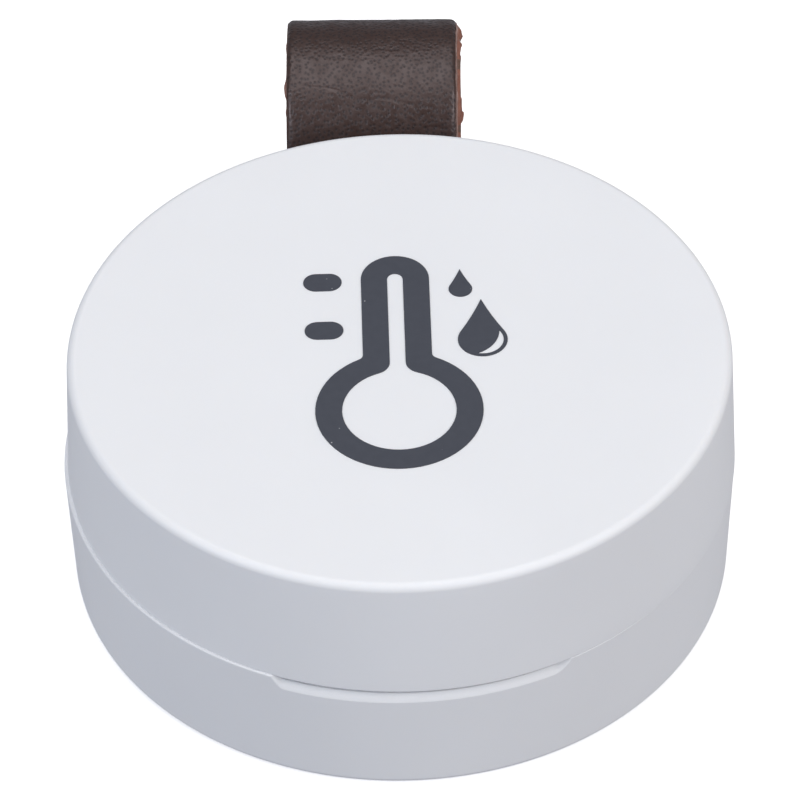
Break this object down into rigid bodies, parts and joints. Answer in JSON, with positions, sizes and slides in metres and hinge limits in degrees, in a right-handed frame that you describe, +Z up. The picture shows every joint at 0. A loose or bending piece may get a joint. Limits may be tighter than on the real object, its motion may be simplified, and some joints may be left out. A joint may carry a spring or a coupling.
{
  "type": "temperature humidity sensor",
  "caption": "Round battery room sensor for temperature and humidity, with a lift-off cover, a coin cell and a leather hanging loop.",
  "frame": {"origin": "centre of the flat underside of the base shell, which stands on a surface", "axes": "+Z up through the cover, +Y towards the hanging loop at the back, +X to the right seen from the pry notch"},
  "size_m": [0.037, 0.0491, 0.0156],
  "materials": {
    "white_abs": "fine moulded satin texture",
    "print_ink": "pad-printed ink",
    "leather": "grained hide, raw cut edges",
    "stainless_steel": "ground pin",
    "circuit_board": "solder mask over glass laminate",
    "zinc_steel": "zinc plated",
    "black_nylon": "moulded nylon",
    "nickel_strip": "nickel-plated spring strip",
    "cell_steel": "nickel-plated pressed steel",
    "gasket": "moulded seal",
    "foam": "closed-cell foam",
    "chip_epoxy": "moulded epoxy",
    "sensor_body": "moulded epoxy",
    "crystal_can": "plated lid",
    "antenna_ceramic": "fired ceramic",
    "coil_ferrite": "sintered ferrite",
    "capacitor": "fired ceramic with tinned ends",
    "resistor": "glazed ceramic with tinned ends",
    "led_body": "clear resin on a white base",
    "switch_plastic": "moulded nylon",
    "switch_steel": "tinned steel",
    "plunger_plastic": "moulded nylon"
  },
  "bodies": {
    "base": {"base_shell": "white_abs", "strap_pin": "stainless_steel", "main_board": "circuit_board", "board_screws": "zinc_steel", "cell_holder": "black_nylon", "positive_contact": "nickel_strip", "negative_contact": "nickel_strip", "humidity_sensor": "sensor_body", "radio_chip": "chip_epoxy", "main_crystal": "crystal_can", "clock_crystal": "crystal_can", "chip_antenna": "antenna_ceramic", "power_coils": "coil_ferrite", "large_capacitors": "capacitor", "small_capacitors": "capacitor", "resistors": "resistor", "status_led": "led_body", "switch_body": "switch_plastic", "switch_frame": "switch_steel", "switch_dome": "switch_steel"},
    "cover": {"top_cover": "white_abs", "pictogram_print": "print_ink", "cell_pad": "foam"},
    "strap": {"leather_strap": "leather"},
    "cell": {"cell_can": "cell_steel", "cell_gasket": "gasket", "cell_cap": "cell_steel"},
    "plunger": {"switch_plunger": "plunger_plastic"}
  },
  "joints": [
    {"name": "cover_lift", "type": "slide", "parent": "base", "child": "cover", "axis": [0, 0, 1], "range_m": [0, 0.02]},
    {"name": "cell_lift", "type": "slide", "parent": "base", "child": "cell", "axis": [0, 0, 1], "range_m": [0, 0.01]},
    {"name": "strap_swing", "type": "hinge", "parent": "base", "child": "strap", "pos_m": [0, 0.0149, 0.0065], "axis": [1, 0, 0], "range_deg": [-18, 3]},
    {"name": "button_press", "type": "slide", "parent": "base", "child": "plunger", "axis": [0, 0, -1], "range_m": [0, 0.00025], "stiffness_N_per_m": 4000, "springref_m": -0.00012}
  ],
  "couplings": [
    {"joint": "cell_lift", "follows": "cover_lift", "ratio": 0.5}
  ]
}
